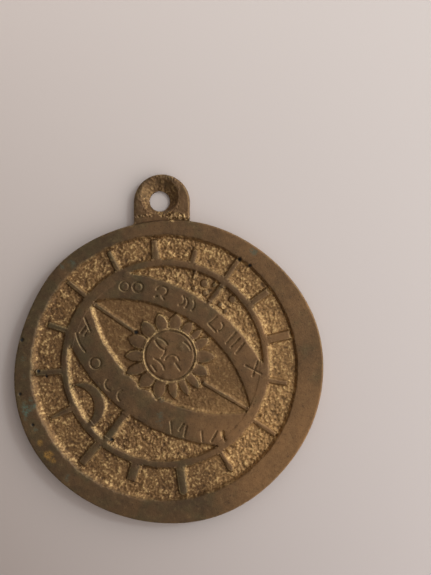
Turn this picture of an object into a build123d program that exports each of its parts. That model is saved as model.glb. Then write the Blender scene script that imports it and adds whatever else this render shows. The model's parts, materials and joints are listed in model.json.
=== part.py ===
from build123d import *
import math
import os

# A small hanging medallion cast in brass, with an astrolabe in relief on its face: a rim,
# a ring of rays, a band of zodiac signs round an eye-shaped ground, and a sun with a face.
# Millimetres. It lies face up: +Z out of the face, +Y towards the hanging lug, and the
# origin at the centre of the disc on its flat back. Bearings are degrees from +X towards +Y.
# The relief is sized outwards from the ring, so a changed size moves what lies outside it.

# ---- Heights of the casting ----
plate_thickness = 2.5        # back to the sunk, sandy ground
rim_rise = 1.0               # every rise is measured from the ground
ring_rise = 0.9
band_rise = 0.85
sun_rise = 0.9
petal_rise = 0.85
bar_rise = 0.75
ridge_rise = 0.5
moon_rise = 0.6
star_rise = 0.45

# ---- Ring, moat and rim, from the inside out ----
ring_inner_radius = 19.0
ring_width = 1.6
moat_width = 5.2             # ground between ring and rim
rim_width = 4.2
rim_edge_round = 0.3
ring_centre = (-0.55, 1.5)   # both circles were cut a little off the disc's centre
well_centre = (-0.7, 0.7)

# Filed edge of the disc: bearing, and how far it stands out of the true circle there
filed_edge = (
    (22, 0.4), (52, -0.2), (80, -0.25), (110, -0.45), (137, 0.0), (157, -0.3),
    (182, 0.3), (210, 0.6), (230, 0.2), (260, -0.2), (290, 0.0), (318, -0.25), (345, 0.1),
)

# ---- Rays in the moat: bearing, width, gap left before the rim, shape of the tip ----
rays = (
    (13.2, 1.50, 0.45, "square"), (35.2, 1.30, 0.60, "square"),
    (54.8, 1.00, 0.35, "square"), (75.2, 0.85, 1.90, "round"),
    (95.3, 1.40, 0.90, "tapered"), (117.0, 0.90, 0.60, "tapered"),
    (139.9, 0.85, 0.40, "square"), (161.5, 1.00, 1.50, "square"),
    (184.2, 1.15, 0.50, "square"), (205.5, 1.30, 1.40, "tapered"),
    (230.0, 1.60, 0.90, "square"), (253.4, 1.80, 2.70, "square"),
    (277.9, 1.70, 0.55, "round"), (301.9, 1.25, 1.55, "leaf"),
    (327.2, 0.85, 0.40, "square"), (350.9, 0.95, 1.55, "square"),
)
ray_corner = 0.15            # rounding of a square tip
taper_share = 0.55           # width of a tapered tip, as a share of the ray's
leaf_stem_share = 0.7        # width of a leaf's stem, as a share of the ray's
leaf_share = 1.4             # length of a leaf, as a share of its width

# ---- Inside the ring: a sunk crescent, then the band of signs, then the eye-shaped ground ----
eye_corner_left = 140.5      # bearings, about the ring's centre, of the eye's two corners
eye_corner_right = -29.1
upper_crescent_width = 4.4   # widest, from the ring to the band
lower_crescent_width = 6.6
upper_band_width = 5.0       # at the band's crest
lower_band_width = 6.2
band_radius = 34.3           # curve of the band's outer edge

# ---- Sun ----
sun_shift = (-0.2, 0.15)     # from the middle of the eye
face_radius = 5.2
face_line_inset = 0.35       # incised circle round the face, from its edge
petal_bearings = (
    128, 105, 80, 54, 38, 24, 358, 333, 312, 295, 277, 255, 226, 202, 181, 157,
)
petal_lengths = (            # out of the face's edge
    3.4, 3.3, 3.1, 2.7, 3.0, 3.2, 3.9, 3.4, 3.6, 3.5, 3.5, 3.8, 3.4, 4.2, 3.7, 3.8,
)
petal_belly = 1.6            # how far out of the face a petal is widest
petal_slit = 0.3             # gap between neighbouring petals

# ---- Bars, ridges, moon and stars ----
axis_bearing = 53.0          # line of the two bars, through the sun's centre
upper_bar_width = 1.2
lower_bar_width = 1.65
ridge_width = 0.85
ridge_gap = 3.1              # between the face's edge and a ridge
left_ridge_bearing = 145.8   # of the ridge's start, about the sun's centre
right_ridge_bearing = -39.5
spur_bearing = 72.0
spur_length = 1.6
spur_width = 0.55
moon_bearing = 207.0         # about the ring's centre
moon_inset = 0.7             # of the moon's centre from the ring's inner wall
moon_radius = 4.6
moon_hollow_radius = 4.2
moon_hollow_shift = (-2.0, -0.3)
# Stars beside the ring and beside the upper band: bearing about the centre of that edge's
# curve, gap to the edge, radius
ring_stars = ((64.2, 0.75, 0.80), (58.3, 0.45, 0.45), (43.8, 0.10, 0.75))
band_stars = ((61.7, 0.35, 0.50), (58.0, 0.60, 0.55), (51.9, 0.45, 0.50), (49.3, 0.20, 0.50))

# ---- Hanging lug ----
lug_half_width = 5.55
lug_root_half_width = 5.4
lug_centre_x = -1.4
lug_length = 8.75            # how far the lug stands out of the disc
lug_thickness = 2.0
lug_edge_round = 0.4
hole_radius = 2.0
dish_radius = 3.7
dish_depth = 1.4
dish_shift = 0.9             # the dish is cut a little above the hole
hole_shift = (-0.45, 0.3)    # hole's centre from the centre of the lug's round top

# ---- Incised lines ----
line_width = 0.32
line_depth = 0.25

# Signs of the upper band: bearing from the band's crest, how far in from its outer edge, and
# strokes as points (along the band, outwards). Two points are a line, and three an arc.
# Circles are (along, outwards, radius).
upper_signs = {
    "crab": (-26.4, 2.7, [], [(-1.3, -0.1, 0.9), (1.3, 0.1, 0.95)]),
    "lion": (-15.5, 2.5, [
        [(-1.1, 0.35), (-0.3, 1.3), (0.9, 0.9)], [(0.9, 0.9), (0.9, 0.1), (0.3, -0.6)],
        [(0.3, -0.6), (0.85, -1.05)], [(-0.95, -1.05), (-0.65, -0.9)]], []),
    "maiden": (-5.8, 2.2, [
        [(-1.3, 0.7), (-0.75, 0.15), (-1.2, -1.15)], [(-0.65, 0.65), (0.0, 0.15), (0.05, -1.0)],
        [(0.95, 0.9), (1.4, 0.4), (1.5, -0.85)]], []),
    "scales": (7.5, 2.5, [
        [(-1.25, 1.15), (-1.5, -0.9)], [(-1.5, -0.9), (0.5, -1.1)],
        [(0.85, -0.6), (1.1, 0.3), (0.35, 1.0)]], []),
    "scorpion": (16.3, 2.3, [
        [(-1.55, 1.3), (-1.1, -1.4)], [(-0.2, 1.2), (0.1, -1.2)], [(1.1, 1.3), (1.6, -1.2)]], []),
    "archer": (27.7, 2.05, [[(-1.5, -1.2), (1.35, 0.7)], [(-1.1, 1.25), (1.0, -0.95)]], []),
}
lower_signs = {
    "twins": (-32.5, 3.4, [
        [(-2.7, -1.35), (0.1, -1.3)], [(-0.55, 1.35), (1.3, 1.55), (3.4, 1.15)],
        [(-0.15, -0.9), (0.4, 0.05)], [(-1.1, -0.85), (-0.4, 0.55)]], []),
    "bull": (-21.1, 2.6, [], [(0.0, 0.0, 1.05)]),
    "ram": (-9.8, 1.85, [
        [(-2.25, -0.6), (-1.9, 0.4), (-0.55, 0.55)], [(1.2, -1.1), (1.3, 0.15), (2.25, 0.6)]], []),
    "fishes": (16.6, 2.05, [
        [(-1.9, -0.7), (-1.05, 1.3)], [(0.65, -1.0), (0.2, 0.4)], [(1.35, -0.8), (1.5, 1.2)]], []),
    "goat": (29.4, 1.6, [
        [(-2.65, -0.95), (-2.3, 0.9)], [(0.35, -1.25), (-0.05, -0.25), (-0.6, 0.8)],
        [(1.6, -1.05), (1.75, -0.3), (2.2, 0.4)]], []),
}

# Lines of the sun's face, from its centre
face_lines = [
    [(-2.2, 3.5), (-1.2, 3.0), (-0.5, 2.2)], [(-2.8, 2.9), (-2.2, 1.9), (-1.05, 1.1)],
    [(2.8, 2.6), (3.6, 2.0), (4.1, 1.1)], [(-0.9, -0.8), (0.3, 0.15), (1.8, -0.95)],
    [(-0.9, 1.3), (-1.05, 0.4), (-1.65, -0.45)], [(-3.0, -0.6), (-1.55, -1.7), (-1.1, -2.65)],
    [(-3.5, -1.9), (-2.7, -3.0)], [(1.15, -1.55), (2.05, -2.85)],
]

# ---- Worked out from the sizes above ----
ring_outer_radius = ring_inner_radius + ring_width
well_radius = ring_outer_radius + moat_width
disc_radius = well_radius + rim_width


def polar(centre, bearing, distance):
    """Point at a bearing and distance from a centre."""
    angle = math.radians(bearing)
    return (centre[0] + distance * math.cos(angle), centre[1] + distance * math.sin(angle))


def bearing_to(start, end):
    return math.degrees(math.atan2(end[1] - start[1], end[0] - start[0]))


UPPER, LOWER = 90, -90       # side of the eye's long axis, as a turn from its bearing
eye_left = polar(ring_centre, eye_corner_left, ring_inner_radius)
eye_right = polar(ring_centre, eye_corner_right, ring_inner_radius)
eye_middle = ((eye_left[0] + eye_right[0]) / 2, (eye_left[1] + eye_right[1]) / 2)
eye_bearing = bearing_to(eye_left, eye_right)
half_chord = math.dist(eye_left, eye_right) / 2
sun_centre = (eye_middle[0] + sun_shift[0], eye_middle[1] + sun_shift[1])

# Heights above the eye's long axis of the band's outer edge and of the eye's own edge
middle_off_centre = math.dist(eye_middle, ring_centre)
crest = {
    UPPER: ring_inner_radius - middle_off_centre - upper_crescent_width,
    LOWER: ring_inner_radius + middle_off_centre - lower_crescent_width,
}
eye_opening = {UPPER: crest[UPPER] - upper_band_width, LOWER: crest[LOWER] - lower_band_width}


def disc(centre, radius):
    """Flat disc round a centre."""
    return Pos(*centre) * Circle(radius)


def raised(face, rise):
    """Solid standing on the ground over a flat face."""
    return Pos(0, 0, plate_thickness) * extrude(face, rise)


# ---- Flat regions that the relief is cut from ----
def disc_outline():
    """The filed, slightly wavy outline of the disc."""
    points = [polar((0, 0), bearing, disc_radius + out) for bearing, out in filed_edge]
    return make_face(Spline(*points, periodic=True))


def ring_inside():
    return disc(ring_centre, ring_inner_radius)


def eye_ground():
    """Lens between the two arcs that meet at the eye's corners."""
    arcs = []
    for side, opening in eye_opening.items():
        radius = (half_chord ** 2 + opening ** 2) / (2 * opening)
        arcs.append(disc(polar(eye_middle, eye_bearing + side, opening - radius), radius))
    return arcs[0] & arcs[1]


def band_centre(side):
    """Centre of the arc of a band's outer edge."""
    return polar(eye_middle, eye_bearing + side, crest[side] - band_radius)


def half_plane(side):
    """Everything on one side of the eye's long axis."""
    reach = 2 * disc_radius
    centre = polar(eye_middle, eye_bearing + side, reach / 2)
    return Pos(*centre) * Rot(0, 0, eye_bearing) * Rectangle(2 * reach, reach)


def band_face(side):
    whole = disc(band_centre(side), band_radius) & ring_inside() & half_plane(side)
    return whole - eye_ground() - sunburst()


def crescent_ground(side):
    """Sunk ground between a band and the ring."""
    return (ring_inside() & half_plane(side)) - disc(band_centre(side), band_radius)


def petal_face(index):
    """One petal: a leaf standing on the face's edge, halfway to its neighbours on each side."""
    count = len(petal_bearings)
    here = petal_bearings[index]
    before = (petal_bearings[index - 1] - here) % 360 / 2
    after = (here - petal_bearings[(index + 1) % count]) % 360 / 2
    belly = face_radius + petal_belly
    slit = math.degrees(petal_slit / 2 / belly)
    tip = polar(sun_centre, here, face_radius + petal_lengths[index])
    left, right = here + before - slit, here - after + slit
    outline = [
        ThreePointArc(polar(sun_centre, left - slit, face_radius), polar(sun_centre, left, belly), tip),
        ThreePointArc(tip, polar(sun_centre, right, belly), polar(sun_centre, right + slit, face_radius)),
        ThreePointArc(polar(sun_centre, right + slit, face_radius), polar(sun_centre, here, face_radius),
                      polar(sun_centre, left - slit, face_radius)),
    ]
    return make_face(outline)


def sunburst():
    """Ground covered by the sun and its petals."""
    covered = disc(sun_centre, face_radius)
    for index in range(len(petal_bearings)):
        covered = covered + petal_face(index)
    return covered


# ---- Incised lines ----
def stroke(points):
    """Flat slot along a straight line through two points, or an arc through three."""
    path = Line(*points) if len(points) == 2 else ThreePointArc(*points)
    return make_face(offset(Wire([path.edge()]), line_width / 2, kind=Kind.ARC).edges())


def ring_stroke(centre, radius):
    return disc(centre, radius + line_width / 2) - disc(centre, radius - line_width / 2)


def incise(solid, flat_lines, rise):
    """Cut flat slots into the top of a raised solid."""
    bottom = plate_thickness + rise - line_depth
    return solid - [Pos(0, 0, bottom) * extrude(flat, 2 * line_depth) for flat in flat_lines]


def sign_lines(side, signs):
    """Strokes of a band's signs, each set on its bearing along the band."""
    lines = []
    for bearing, inset, strokes, circles in signs.values():
        turn = bearing if side == LOWER else -bearing
        outwards = eye_bearing + side + turn
        along = outwards + 90 if side == LOWER else outwards - 90
        middle = polar(band_centre(side), outwards, band_radius - inset)

        def place(point):
            return polar(polar(middle, along, point[0]), outwards, point[1])

        lines += [stroke([place(point) for point in points]) for points in strokes]
        lines += [ring_stroke(place(circle[:2]), circle[2]) for circle in circles]
    return lines


# ---- Solids ----
def back_plate():
    plate = extrude(disc_outline(), plate_thickness)
    return fillet(plate.edges().group_by(Axis.Z)[0], rim_edge_round)


def rim():
    solid = raised(disc_outline() - disc(well_centre, well_radius), rim_rise)
    outer_edge = solid.edges().group_by(Axis.Z)[-1].sort_by(SortBy.LENGTH)[-1]
    return fillet(outer_edge, rim_edge_round)


def ring():
    return raised(disc(ring_centre, ring_outer_radius) - ring_inside(), ring_rise)


def reach_to_rim(bearing):
    """Distance from the ring's centre to the rim's inner wall along a bearing."""
    angle = math.radians(bearing)
    east, north = ring_centre[0] - well_centre[0], ring_centre[1] - well_centre[1]
    along = east * math.cos(angle) + north * math.sin(angle)
    return -along + math.sqrt(along ** 2 + well_radius ** 2 - east ** 2 - north ** 2)


def ray_outline(start, end, width, tip):
    """Flat outline of a ray lying along +X."""
    half = width / 2
    if tip == "square":
        flat = Pos((start + end) / 2, 0) * Rectangle(end - start, width)
        return fillet(flat.vertices().group_by(Axis.X)[-1], ray_corner)
    if tip == "round":
        flat = Pos((start + end - half) / 2, 0) * Rectangle(end - half - start, width)
        return flat + Pos(end - half, 0) * Circle(half)
    if tip == "tapered":
        narrow = half * taper_share
        corners = [(start, -half), (end, -narrow), (end, narrow), (start, half)]
        return make_face(Polyline(*corners, close=True))
    shoulder, stem = end - width * leaf_share, half * leaf_stem_share
    return make_face([
        Polyline((shoulder, stem), (start, stem), (start, -stem), (shoulder, -stem)),
        ThreePointArc((shoulder, -stem), (shoulder + half, -half), (end, 0)),
        ThreePointArc((end, 0), (shoulder + half, half), (shoulder, stem)),
    ])


def ray(bearing, width, gap, tip):
    """A ray standing on the ring's outer wall and stopping short of the rim."""
    flat = ray_outline(ring_inner_radius, reach_to_rim(bearing) - gap, width, tip)
    placed = Pos(*ring_centre) * Rot(0, 0, bearing) * flat
    return raised(placed - disc(ring_centre, ring_outer_radius), ring_rise)


def band(side, signs):
    return incise(raised(band_face(side), band_rise), sign_lines(side, signs), band_rise)


def sun_face():
    solid = raised(disc(sun_centre, face_radius), sun_rise)
    lines = [stroke([(sun_centre[0] + x, sun_centre[1] + y) for x, y in points]) for points in face_lines]
    return incise(solid, [ring_stroke(sun_centre, face_radius - face_line_inset)] + lines, sun_rise)


def axis_bar(side, width):
    """Bar across the sunk crescent, from the band to the ring."""
    bearing = axis_bearing if side == UPPER else axis_bearing + 180
    strip = Pos(*polar(sun_centre, bearing, ring_inner_radius)) * Rot(0, 0, bearing) \
        * Rectangle(2 * ring_inner_radius, width)
    return raised(strip & crescent_ground(side), bar_rise)


def equator_ridge(start_bearing, corner):
    """Low ridge from beside the sun to a corner of the eye."""
    ridge_start = face_radius + ridge_gap
    bearing = bearing_to(polar(sun_centre, start_bearing, ridge_start), corner)
    strip = Pos(*corner) * Rot(0, 0, bearing) * Rectangle(2 * half_chord, ridge_width)
    return raised((strip & eye_ground()) - disc(sun_centre, ridge_start) - sunburst(), ridge_rise)


def ring_spur():
    """Short spur standing inwards from the ring."""
    strip = Pos(*polar(ring_centre, spur_bearing, ring_inner_radius)) * Rot(0, 0, spur_bearing) \
        * Rectangle(2 * spur_length, spur_width)
    return raised(strip & crescent_ground(UPPER), ridge_rise)


def moon():
    """Crescent moon whose lower horn runs into the ring."""
    centre = polar(ring_centre, moon_bearing, ring_inner_radius - moon_inset)
    hollow = (centre[0] + moon_hollow_shift[0], centre[1] + moon_hollow_shift[1])
    flat = disc(centre, moon_radius) - disc(hollow, moon_hollow_radius)
    return raised(flat & crescent_ground(LOWER), moon_rise)


def star(centre, radius):
    """Small round boss."""
    boss = raised(disc(centre, radius), star_rise)
    return fillet(boss.edges().group_by(Axis.Z)[-1], star_rise / 2)


def all_stars():
    by_ring = [star(polar(ring_centre, bearing, ring_inner_radius - gap - radius), radius)
               for bearing, gap, radius in ring_stars]
    by_band = [star(polar(band_centre(UPPER), bearing, band_radius + gap + radius), radius)
               for bearing, gap, radius in band_stars]
    return by_ring + by_band


def lug():
    """Flat eyelet cast on the disc's edge, with a dished hole."""
    top_y = disc_radius + lug_length - lug_half_width
    outline = disc((lug_centre_x, top_y), lug_half_width) + make_face(Polyline(
        (lug_centre_x - lug_half_width, top_y), (lug_centre_x - lug_root_half_width, 0),
        (lug_centre_x + lug_root_half_width, 0), (lug_centre_x + lug_half_width, top_y), close=True))
    solid = extrude(outline, lug_thickness)
    rounded = [edge for height in (0, -1) for edge in solid.edges().group_by(Axis.Z)[height]
               if edge.center().Y > well_radius / 2]
    solid = fillet(rounded, lug_edge_round) - extrude(disc_outline(), lug_thickness)
    hole = (lug_centre_x + hole_shift[0], top_y + hole_shift[1])
    throat = extrude(disc(hole, hole_radius), lug_thickness)
    floor = lug_thickness - dish_depth
    dish = loft([Pos(*hole, floor) * Circle(hole_radius),
                 Pos(hole[0], hole[1] + dish_shift, lug_thickness) * Circle(dish_radius)])
    return solid - throat - dish


# ---- Every piece of the relief, by name ----
def all_parts():
    parts = {
        "back_plate": back_plate(), "rim": rim(), "hanging_lug": lug(), "ring": ring(),
        "sign_band_upper": band(UPPER, upper_signs),
        "sign_band_lower": band(LOWER, lower_signs),
        "axis_bar_upper": axis_bar(UPPER, upper_bar_width),
        "axis_bar_lower": axis_bar(LOWER, lower_bar_width),
        "equator_ridge_left": equator_ridge(left_ridge_bearing, eye_left),
        "equator_ridge_right": equator_ridge(right_ridge_bearing, eye_right),
        "sun_face": sun_face(), "moon": moon(), "ring_spur": ring_spur(),
    }
    for number, values in enumerate(rays, 1):
        parts[f"ray_{number:02d}"] = ray(*values)
    for number in range(len(petal_bearings)):
        parts[f"petal_{number + 1:02d}"] = raised(petal_face(number), petal_rise)
    for number, solid in enumerate(all_stars(), 1):
        parts[f"star_{number}"] = solid
    return parts


os.makedirs("parts", exist_ok=True)
for name, piece in all_parts().items():
    export_step(piece.solid(), f"parts/{name}.step")
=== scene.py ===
import json
import math
import re

import bpy
import numpy as np
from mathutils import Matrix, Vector
from mathutils.geometry import delaunay_2d_cdt


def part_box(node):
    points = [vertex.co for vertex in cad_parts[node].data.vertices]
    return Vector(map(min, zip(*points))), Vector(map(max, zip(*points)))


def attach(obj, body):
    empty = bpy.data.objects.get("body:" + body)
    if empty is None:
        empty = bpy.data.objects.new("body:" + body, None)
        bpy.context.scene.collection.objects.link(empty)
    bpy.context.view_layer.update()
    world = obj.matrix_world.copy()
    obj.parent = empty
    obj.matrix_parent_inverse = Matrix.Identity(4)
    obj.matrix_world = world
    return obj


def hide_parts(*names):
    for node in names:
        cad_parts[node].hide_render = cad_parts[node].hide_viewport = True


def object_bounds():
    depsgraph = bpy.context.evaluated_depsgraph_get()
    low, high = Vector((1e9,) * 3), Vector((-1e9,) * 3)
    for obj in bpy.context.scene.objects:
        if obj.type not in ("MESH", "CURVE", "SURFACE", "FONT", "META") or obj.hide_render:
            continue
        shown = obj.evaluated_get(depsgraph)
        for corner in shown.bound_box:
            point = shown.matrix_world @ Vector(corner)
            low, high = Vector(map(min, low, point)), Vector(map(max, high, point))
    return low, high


# The looks of a small medallion cast in brass, with an astrolabe in relief. The whole casting is
# one surface, a height worked out over the flat outlines of the CAD nodes, and it is cut into one
# closed piece for each node. Lengths are in millimetres until a mesh is made. The "ground" is
# the sunk, sandy surface that the relief stands on, and "walls" are the relief's worn flanks.

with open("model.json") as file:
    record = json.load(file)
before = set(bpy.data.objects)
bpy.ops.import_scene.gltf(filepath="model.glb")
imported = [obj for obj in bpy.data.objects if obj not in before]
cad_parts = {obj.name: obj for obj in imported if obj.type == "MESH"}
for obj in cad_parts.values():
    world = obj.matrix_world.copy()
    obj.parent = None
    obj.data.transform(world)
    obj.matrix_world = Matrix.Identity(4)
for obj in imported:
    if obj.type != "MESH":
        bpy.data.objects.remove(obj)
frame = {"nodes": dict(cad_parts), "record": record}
cad_box = [list(corner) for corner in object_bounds()]

MM = 0.001
SUN_BEARING, SUN_ELEVATION = 28, 44  # in degrees, from +x and above the paper
SKY_BEARING = 12  # of the window's broad light
FROM_LIGHT = np.array([math.cos(math.radians(SKY_BEARING)), math.sin(math.radians(SKY_BEARING))])

# ---- Walls and tops of the relief ----
WALL_WIDTHS = {  # plan widths of walls, from foot to top
    "rim": 0.85, "petal": 0.38, "star": 0.35, "sun_face": 0.4, "equator_ridge_left": 0.4,
    "equator_ridge_right": 0.4, "moon": 0.5, "ray": 0.4,
}
WALL_WIDTH = 0.65  # of any other piece
WALL_LEAN = 0.45  # share by which walls that face the upper right are wider
WALL_REACH = 1.5  # how far from an outline its wall matters
WALL_RAGGED = 0.13  # how far the moulding sand shifted a wall, as a share of its width
RAGGED_FINE = 0.6  # the smaller of those shifts, as a share of the broader
WALLS_WITHOUT_PAINTED_HIGHLIGHT = ("rim", "equator_ridge_left", "equator_ridge_right")  # pieces whose walls get no painted highlight on the side that faces the light
RAY_SWELLS = {"ray_04": 0.22, "ray_05": 0.32, "ray_06": 0.25, "ray_08": 0.2}
RAY_SWELL = 0.12  # how far the other blunt rays swell past their outlines
CROWNS = {"rim": (0.1, 0.5), "ray": (0.2, 0.4)}
CROWN = (0.16, 0.5)  # share of a rise that a worn, rounded top loses at its edge, and its width
FOOT_MARGIN = 0.14  # a piece reaches this far past its CAD outline, to the wall's foot
SEAT_DEPTH = 0.35  # how deep under the ground the relief pieces start
JOINT_PROBE = 0.06  # how far past an outline another piece is looked for
JOINT_REACH = 0.5  # how far a piece's top runs on into the piece that it joins
JOINT_SPACING, EDGE_SPACING = 0.3, 0.2  # outlines are told apart in steps of this length
SPIKE_LIMIT = 0.7  # the least that a sharp corner's step is divided by

# ---- Sun: a web joins its petals round the face, and a bead, a raised line, edges the face ----
FLOWER_RADIUS = 9.0  # inside it walls are more ragged and worn
WEB_WIDTH = 0.45
BEAD_HEIGHT, BEAD_WIDTH, BEAD_INSET = 0.16, 0.17, 0.02
BEAD_MEAN, BEAD_UNEVEN, BEAD_RANGE = 0.75, 0.5, (0.2, 1.2)  # how its height varies, as shares
BRIGHT_BEAD, PAINTED_HIGHLIGHT_STRENGTH = 2.2, 2.0  # how bright the bead is, and the painted highlight on walls that face the light

# ---- Edges of the disc and the lug ----
DISC_ROUND, LUG_ROUND, BACK_ROUND = 0.35, 0.45, 0.3
LUG_ROOT = 0.97  # half width of the lug's root, as a share of its round top's
ROOT_WIDTH, ROOT_SIDE = 0.5, 0.4  # over which the disc's level passes into the lug's
RIPPLE = 0.02  # how far the mould's unevenness takes the sides in
RIPPLE_TOP, RIPPLE_FADE = 0.6, 0.4  # where that ends above the ground, and over how much
BACK_FLAT, BACK_CLEAR = 0.7, 0.75  # the back is flat, and has no points, this near its edges
BACK_BUMPS = {"back": 0.03, "back_fine": 0.012}
DISH_EDGE = 0.2  # height over which the dish's rougher finish begins
DISH_BELLY = 0.25  # how far the dish is hollower than a cone, as a share

# ---- Heights of the sand's grain, in the moat round the ring, the eye and the lug's dish ----
MOAT_GRAIN, EYE_GRAIN, DISH_GRAIN = 0.14, 0.07, 0.006
GRAIN_HEIGHT = 1.6  # multiplies all three
GRAIN_SHARES = {"grain_broad": 0.2, "grain": 0.35, "grain_fine": 0.55}
TOP_GRAIN = 0.012  # on the smooth relief
COARSE_MEAN, COARSE_UNEVEN, COARSE_RANGE = 0.55, 0.4, (0.15, 1.3)  # how the sand's grain varies
CRUMB_HEIGHT, PIT_DEPTH = 0.4, 0.3

# ---- Incised lines ----
LINE_DEPTH, LINE_BEVEL, LINE_RAGGED = 0.26, 0.33, 0.03
LINE_REACH = 0.17  # how far a line's bevel reaches past the CAD slot
LINE_MEAN, LINE_UNEVEN = 0.8, 0.35  # how the depth varies along the lines

# ---- Eye-shaped ground between the bands ----
EYE_HALF_OPENING = 7.9
EYE_SMOOTH = 0.5  # how much less sandy it is, as a share

# ---- Finish: where the brass is warm, partly as painted light, and where wear has brightened it ----
TONE_MEAN, TONE_EYE = 0.3, 0.3  # from 0 cool to 1 warm, and how much cooler the eye's ground is
TONE_ACROSS = 0.0107  # painted light: more for each millimetre to the right, where the light is stronger
TONE_UNEVEN, TONE_FINE = 0.12, 0.1
WORN_INSET, WORN_WIDTH = 0.1, 0.15  # of the bright upper edges
WORN_FLOWER = 1.1  # how much brighter those of the sun are
WORN_MEAN, WORN_UNEVEN = 0.6, 0.6
LINE_BRIGHT = 3.0  # how bright the incised lines' edges are
LINE_DARK = 0.45  # how dark their bottoms are

# ---- Random bumps: how wide each kind is, and its seed ----
BUMPS = {
    "wall": (1.3, 11), "wall_fine": (0.5, 12), "bead": (0.9, 13), "line_edge": (0.5, 21),
    "line_depth": (1.1, 22), "spot": (0.8, 31), "grain_broad": (1.2, 41), "grain": (0.5, 42),
    "grain_fine": (0.3, 43), "top": (0.6, 51), "top_broad": (3.5, 52), "side": (0.5, 61),
    "ripple": (0.8, 62), "ripple_broad": (2.5, 63), "back": (4.0, 64), "back_fine": (1.2, 65),
    "tone": (9.0, 71), "tone_fine": (3.0, 72), "coarse": (3.0, 74), "wear_and_painted_highlight": (1.5, 75),
    "crumb": (0.33, 81),
}

# ---- Mesh ----
WALL_SPACING, GROUND_SPACING, TOP_SPACING = 0.105, 0.17, 0.3
BACK_SPACING, OUTLINE_SPACING = 0.7, 0.13
STEEP_SPACING, STEEP_CELL = 0.15, 0.2  # the closest points lie within two such cells of a wall
EDGE_INSETS = (0.04, 0.12, 0.23, 0.36)  # rows of points along the rounded outer edge
DISH_RING = 2.6  # radius of a ring of close points in the dish
LATTICE_SHAKE = 0.16  # how far points are moved at random, as a share of their spacing
CUT_PROBE = 0.02  # how far to each side of a cut line the pieces are told apart
CUT_CLEAR = 0.04  # how far other points stay from those on the cut lines
SAME = 0.001  # closer than this, two places are one
ON_EDGE = 0.005  # closer than this, a point is on an outline


# ======== Flat outlines, read from the CAD nodes ========
def top_loops(node):
    """Loops round a CAD node's flat top, each with the top on its left, longest first."""
    mesh = frame["nodes"][node].data
    corners = np.array([vertex.co for vertex in mesh.vertices]) / MM
    keys = [tuple(row) for row in np.round(corners, 4).tolist()]
    top = corners[:, 2].max()
    edges = {}
    for face in mesh.polygons:
        if corners[list(face.vertices), 2].min() > top - SAME:
            ring = [keys[index][:2] for index in face.vertices]
            edges.update(dict.fromkeys(zip(ring, ring[1:] + ring[:1])))
    following = {start: end for start, end in edges if (end, start) not in edges}
    loops = []
    while following:
        start, point = following.popitem()
        loop = [start]
        while point != start:
            loop.append(point)
            point = following.pop(point)
        loops.append(np.array(loop))
    return sorted(loops, key=perimeter, reverse=True)


def segments(loop):
    return np.stack([loop, np.roll(loop, -1, axis=0)], axis=1)


def lengths(rows):
    return np.linalg.norm(rows[:, 1] - rows[:, 0], axis=1)


def perimeter(loop):
    return lengths(segments(loop)).sum()


def divided(rows, spacing):
    """The same segments, cut into equal ones no longer than a spacing."""
    pieces = []
    for (start, end), length in zip(rows, lengths(rows)):
        steps = np.linspace(0, 1, max(1, math.ceil(length / spacing)) + 1)[:, None]
        points = start + (end - start) * steps
        pieces.append(np.stack([points[:-1], points[1:]], axis=1))
    return np.concatenate(pieces)


def right_of(rows):
    """Unit vectors to the right of segments."""
    along = rows[:, 1] - rows[:, 0]
    along /= np.maximum(np.linalg.norm(along, axis=1, keepdims=True), 1e-9)
    return np.stack([along[:, 1], -along[:, 0]], axis=1)


def moved_right(loop, distance):
    """A loop moved to its right, away from the top that it bounds, with its spikes held short."""
    normals = right_of(segments(loop))
    corner = normals + np.roll(normals, 1, axis=0)
    corner /= np.maximum((corner ** 2).sum(axis=1, keepdims=True) / 2, SPIKE_LIMIT)
    return loop + corner * distance


def arc(centre, radius, angle):
    return np.stack([centre[0] + radius * np.cos(angle), centre[1] + radius * np.sin(angle)], axis=1)


def circle(centre, radius, count=120):
    """A loop round a disc, with the disc on its left."""
    return arc(centre, radius, np.arange(count) * 2 * math.pi / count)


def near_box(points, rows, margin):
    """Indices of the points in the box of some segments, widened by a margin."""
    low, high = rows.reshape(-1, 2).min(axis=0) - margin, rows.reshape(-1, 2).max(axis=0) + margin
    return np.flatnonzero(((points >= low) & (points <= high)).all(axis=1))


def inside(points, rows):
    """Whether each point lies inside the area that closed loops of segments bound."""
    x, y = points[:, 0], points[:, 1]
    odd = np.zeros(len(points), bool)
    for (start_x, start_y), (end_x, end_y) in rows:
        if start_y != end_y:
            crosses = np.flatnonzero((start_y > y) != (end_y > y))
            slope = (end_x - start_x) / (end_y - start_y)
            odd[crosses] ^= x[crosses] < start_x + (y[crosses] - start_y) * slope
    return odd


def inside_near(points, rows):
    """The same, looking only at points in the loops' box."""
    found = np.zeros(len(points), bool)
    near = near_box(points, rows, 0.0)
    found[near] = inside(points[near], rows)
    return found


def distance(points, rows, reach):
    """Distance from each point to the nearest segment, or the reach if that is less."""
    return nearest_row(points, rows, reach)[0]


def nearest_row(points, rows, reach):
    """The same distance, and the number of that segment."""
    nearest, which = np.full(len(points), reach), np.zeros(len(points), int)
    start, along = rows[:, 0], rows[:, 1] - rows[:, 0]
    square = np.maximum((along ** 2).sum(axis=1), 1e-12)
    for index, some in points_by_segments(points, rows, reach):
        offset = points[index][:, None] - start[some][None]
        share = np.clip((offset * along[some]).sum(axis=2) / square[some], 0, 1)
        gap = offset - share[:, :, None] * along[some][None]
        gap = np.sqrt((gap ** 2).sum(axis=2))
        nearest[index] = np.minimum(gap.min(axis=1), reach)
        which[index] = some[gap.argmin(axis=1)]
    return nearest, which


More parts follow.
